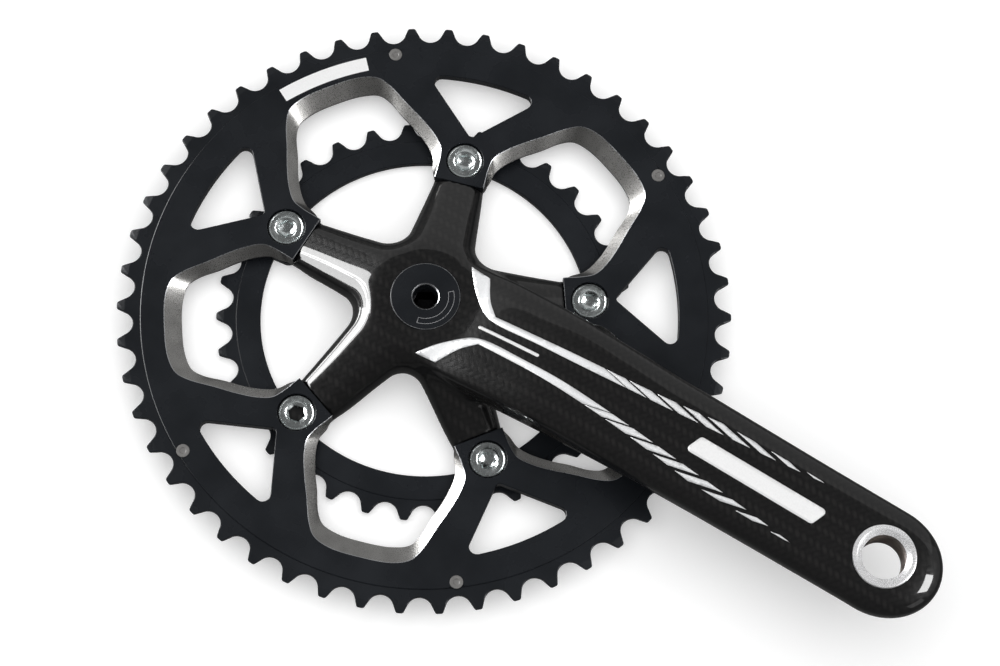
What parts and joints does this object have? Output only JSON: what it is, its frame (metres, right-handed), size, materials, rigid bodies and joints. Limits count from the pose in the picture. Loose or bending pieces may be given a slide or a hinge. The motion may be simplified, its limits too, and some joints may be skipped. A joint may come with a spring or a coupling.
{
  "type": "bicycle crankset",
  "caption": "Drive-side carbon crank arm with a five-arm spider, two toothed chainrings, chainring bolts, pedal insert and a captive crank bolt.",
  "frame": {"origin": "on the crank axis, in the inboard face of the spindle boss", "axes": "+X from the crank axis to the pedal hole, +Z along the crank axis, outboard"},
  "size_m": [0.2922, 0.2046, 0.0416],
  "materials": {
    "carbon": "clear-coated carbon twill",
    "black_anodised": "black anodised, fine blasted",
    "bare_aluminium": "turned, bare",
    "plated_steel": "zinc plated",
    "black_steel": "black oxide",
    "silver_print": "silver print under clear coat"
  },
  "bodies": {
    "crank": {"crank_arm": "carbon", "outer_chainring": "black_anodised", "inner_chainring": "black_anodised", "spindle_insert": "bare_aluminium", "crank_bolt_washer": "plated_steel", "extractor_cap": "black_anodised", "pedal_insert": "bare_aluminium", "chain_drop_pin": "plated_steel", "chainring_bolt_1": "plated_steel", "chainring_bolt_2": "plated_steel", "chainring_bolt_3": "plated_steel", "chainring_bolt_4": "plated_steel", "chainring_bolt_5": "plated_steel", "chainring_nut_1": "plated_steel", "chainring_nut_2": "plated_steel", "chainring_nut_3": "plated_steel", "chainring_nut_4": "plated_steel", "chainring_nut_5": "plated_steel", "shift_pin_1": "plated_steel", "shift_pin_2": "plated_steel", "shift_pin_3": "plated_steel", "shift_pin_4": "plated_steel"},
    "captive_bolt": {"crank_bolt": "black_steel"}
  },
  "joints": [
    {"name": "crank_bolt_spin", "type": "hinge", "parent": "crank", "child": "captive_bolt", "pos_m": [0, 0, 0.0175], "axis": [0, 0, 1], "continuous": true}
  ]
}
